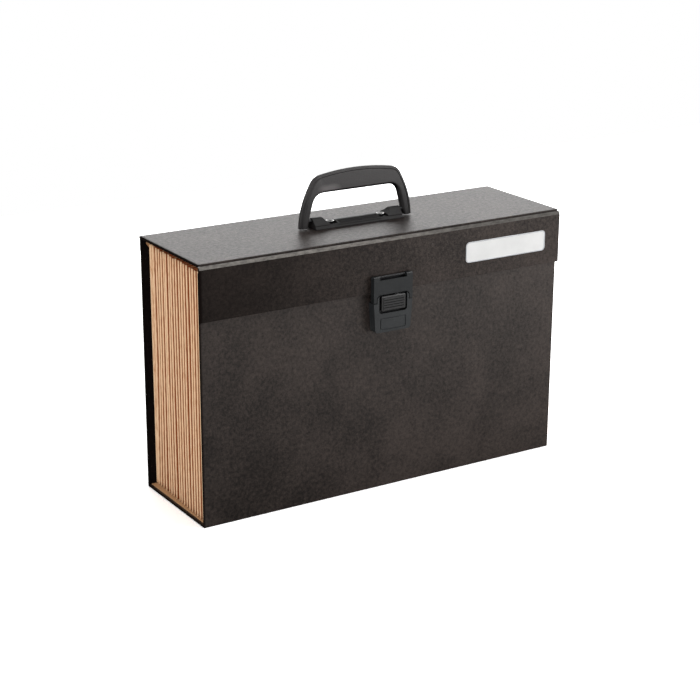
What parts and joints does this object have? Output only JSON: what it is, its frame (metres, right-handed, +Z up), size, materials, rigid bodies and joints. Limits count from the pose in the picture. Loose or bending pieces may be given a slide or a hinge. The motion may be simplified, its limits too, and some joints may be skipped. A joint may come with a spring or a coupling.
{
  "type": "expanding file case",
  "caption": "Portable file box with accordion paper pockets, hinged lid and front flap, folding carry handle, push-button hasp lock and blank label.",
  "frame": {"origin": "middle of the underside of the bottom board, on the floor", "axes": "+X along the front towards its right end as seen from the front, -Y out of the front, +Z up"},
  "size_m": [0.4018, 0.1289, 0.3065],
  "materials": {
    "covered_board": "matte black covering paper",
    "kraft_paper": "matte kraft",
    "black_plastic": "fine moulded grain",
    "button_plastic": "satin",
    "black_steel": "black coated",
    "steel": "plated",
    "rivet_metal": "polished",
    "label_white": "blank, satin",
    "label_metal": "satin"
  },
  "bodies": {
    "case": {"bottom_panel": "covered_board", "rear_panel": "covered_board", "lid_hinge_strip": "covered_board", "front_hinge_strip": "covered_board", "rear_corner_strip": "covered_board", "rear_edge_tapes": "covered_board", "bottom_sheet": "kraft_paper", "rear_end_sheet": "kraft_paper", "left_gusset": "kraft_paper", "right_gusset": "kraft_paper"},
    "lid": {"lid_panel": "covered_board", "flap_hinge_strip": "covered_board", "handle_base": "black_plastic", "handle_pins": "steel", "handle_rivets": "rivet_metal", "handle_washer_plate": "steel"},
    "flap": {"lid_flap": "covered_board", "hasp_bracket": "black_steel", "hasp_rivets": "steel", "hasp_pin": "steel", "label_plate": "label_white", "label_rim": "label_metal"},
    "handle": {"handle_bail": "black_plastic"},
    "hasp": {"hasp_plate": "black_plastic"},
    "front": {"front_panel": "covered_board", "front_end_sheet": "kraft_paper", "lock_housing": "black_plastic", "lock_back_plate": "steel", "button_spring": "steel", "lock_rivets": "steel", "lock_washer_plate": "steel"},
    "button": {"lock_button": "button_plastic"},
    "catch": {"lock_catch": "steel"},
    "divider_01": {"divider_01": "kraft_paper"},
    "divider_02": {"divider_02": "kraft_paper"},
    "divider_03": {"divider_03": "kraft_paper"},
    "divider_04": {"divider_04": "kraft_paper"},
    "divider_05": {"divider_05": "kraft_paper"},
    "divider_06": {"divider_06": "kraft_paper"},
    "divider_07": {"divider_07": "kraft_paper"},
    "divider_08": {"divider_08": "kraft_paper"},
    "divider_09": {"divider_09": "kraft_paper"},
    "divider_10": {"divider_10": "kraft_paper"},
    "divider_11": {"divider_11": "kraft_paper"},
    "divider_12": {"divider_12": "kraft_paper"},
    "divider_13": {"divider_13": "kraft_paper"},
    "divider_14": {"divider_14": "kraft_paper"},
    "divider_15": {"divider_15": "kraft_paper"},
    "divider_16": {"divider_16": "kraft_paper"},
    "divider_17": {"divider_17": "kraft_paper"},
    "divider_18": {"divider_18": "kraft_paper"}
  },
  "joints": [
    {"name": "lid_hinge", "type": "hinge", "parent": "case", "child": "lid", "pos_m": [0, 0.0599, 0.2496], "axis": [-1, 0, 0], "range_deg": [0, 215], "deforming": ["lid_hinge_strip"]},
    {"name": "flap_hinge", "type": "hinge", "parent": "lid", "child": "flap", "pos_m": [0, -0.06, 0.2498], "axis": [-1, 0, 0], "range_deg": [0, 90], "deforming": ["flap_hinge_strip"]},
    {"name": "handle_hinge", "type": "hinge", "parent": "lid", "child": "handle", "pos_m": [0, 0, 0.2595], "axis": [1, 0, 0], "range_deg": [-90, 90]},
    {"name": "hasp_hinge", "type": "hinge", "parent": "flap", "child": "hasp", "pos_m": [0, -0.0641, 0.2143], "axis": [-1, 0, 0], "range_deg": [0, 80]},
    {"name": "button_press", "type": "slide", "parent": "front", "child": "button", "axis": [0, 1, 0], "range_m": [0, 0.0016], "stiffness_N_per_m": 500, "springref_m": -0.001, "deforming": ["button_spring"]},
    {"name": "catch_slide", "type": "slide", "parent": "front", "child": "catch", "axis": [0, 0, -1], "range_m": [0, 0.0016]},
    {"name": "front_hinge", "type": "hinge", "parent": "case", "child": "front", "pos_m": [0, -0.059, 0], "axis": [1, 0, 0], "range_deg": [0, 15.15], "deforming": ["left_gusset", "right_gusset", "front_hinge_strip"]},
    {"name": "divider_01_lean", "type": "hinge", "parent": "case", "child": "divider_01", "pos_m": [0, -0.059, 0], "axis": [1, 0, 0], "range_deg": [0, 0.221]},
    {"name": "divider_02_lean", "type": "hinge", "parent": "case", "child": "divider_02", "pos_m": [0, -0.059, 0], "axis": [1, 0, 0], "range_deg": [0, 0.565]},
    {"name": "divider_03_lean", "type": "hinge", "parent": "case", "child": "divider_03", "pos_m": [0, -0.059, 0], "axis": [1, 0, 0], "range_deg": [0, 1.11]},
    {"name": "divider_04_lean", "type": "hinge", "parent": "case", "child": "divider_04", "pos_m": [0, -0.059, 0], "axis": [1, 0, 0], "range_deg": [0, 1.82]},
    {"name": "divider_05_lean", "type": "hinge", "parent": "case", "child": "divider_05", "pos_m": [0, -0.059, 0], "axis": [1, 0, 0], "range_deg": [0, 2.68]},
    {"name": "divider_06_lean", "type": "hinge", "parent": "case", "child": "divider_06", "pos_m": [0, -0.059, 0], "axis": [1, 0, 0], "range_deg": [0, 3.65]},
    {"name": "divider_07_lean", "type": "hinge", "parent": "case", "child": "divider_07", "pos_m": [0, -0.059, 0], "axis": [1, 0, 0], "range_deg": [0, 4.72]},
    {"name": "divider_08_lean", "type": "hinge", "parent": "case", "child": "divider_08", "pos_m": [0, -0.059, 0], "axis": [1, 0, 0], "range_deg": [0, 5.86]},
    {"name": "divider_09_lean", "type": "hinge", "parent": "case", "child": "divider_09", "pos_m": [0, -0.059, 0], "axis": [1, 0, 0], "range_deg": [0, 7.03]},
    {"name": "divider_10_lean", "type": "hinge", "parent": "case", "child": "divider_10", "pos_m": [0, -0.059, 0], "axis": [1, 0, 0], "range_deg": [0, 8.22]},
    {"name": "divider_11_lean", "type": "hinge", "parent": "case", "child": "divider_11", "pos_m": [0, -0.059, 0], "axis": [1, 0, 0], "range_deg": [0, 9.39]},
    {"name": "divider_12_lean", "type": "hinge", "parent": "case", "child": "divider_12", "pos_m": [0, -0.059, 0], "axis": [1, 0, 0], "range_deg": [0, 10.53]},
    {"name": "divider_13_lean", "type": "hinge", "parent": "case", "child": "divider_13", "pos_m": [0, -0.059, 0], "axis": [1, 0, 0], "range_deg": [0, 11.6]},
    {"name": "divider_14_lean", "type": "hinge", "parent": "case", "child": "divider_14", "pos_m": [0, -0.059, 0], "axis": [1, 0, 0], "range_deg": [0, 12.57]},
    {"name": "divider_15_lean", "type": "hinge", "parent": "case", "child": "divider_15", "pos_m": [0, -0.059, 0], "axis": [1, 0, 0], "range_deg": [0, 13.43]},
    {"name": "divider_16_lean", "type": "hinge", "parent": "case", "child": "divider_16", "pos_m": [0, -0.059, 0], "axis": [1, 0, 0], "range_deg": [0, 14.14]},
    {"name": "divider_17_lean", "type": "hinge", "parent": "case", "child": "divider_17", "pos_m": [0, -0.059, 0], "axis": [1, 0, 0], "range_deg": [0, 14.69]},
    {"name": "divider_18_lean", "type": "hinge", "parent": "case", "child": "divider_18", "pos_m": [0, -0.059, 0], "axis": [1, 0, 0], "range_deg": [0, 15.03]}
  ],
  "couplings": [
    {"joint": "front_hinge", "follows": "lid_hinge", "ratio": 0.07},
    {"joint": "catch_slide", "follows": "button_press", "ratio": 1},
    {"joint": "divider_01_lean", "follows": "lid_hinge", "ratio": 0.0005613},
    {"joint": "divider_02_lean", "follows": "lid_hinge", "ratio": 0.0021636},
    {"joint": "divider_03_lean", "follows": "lid_hinge", "ratio": 0.0046844},
    {"joint": "divider_04_lean", "follows": "lid_hinge", "ratio": 0.0080012},
    {"joint": "divider_05_lean", "follows": "lid_hinge", "ratio": 0.011992},
    {"joint": "divider_06_lean", "follows": "lid_hinge", "ratio": 0.016533},
    {"joint": "divider_07_lean", "follows": "lid_hinge", "ratio": 0.021503},
    {"joint": "divider_08_lean", "follows": "lid_hinge", "ratio": 0.026779},
    {"joint": "divider_09_lean", "follows": "lid_hinge", "ratio": 0.032239},
    {"joint": "divider_10_lean", "follows": "lid_hinge", "ratio": 0.037761},
    {"joint": "divider_11_lean", "follows": "lid_hinge", "ratio": 0.043221},
    {"joint": "divider_12_lean", "follows": "lid_hinge", "ratio": 0.048497},
    {"joint": "divider_13_lean", "follows": "lid_hinge", "ratio": 0.053467},
    {"joint": "divider_14_lean", "follows": "lid_hinge", "ratio": 0.058008},
    {"joint": "divider_15_lean", "follows": "lid_hinge", "ratio": 0.061999},
    {"joint": "divider_16_lean", "follows": "lid_hinge", "ratio": 0.065316},
    {"joint": "divider_17_lean", "follows": "lid_hinge", "ratio": 0.067836},
    {"joint": "divider_18_lean", "follows": "lid_hinge", "ratio": 0.069439}
  ]
}
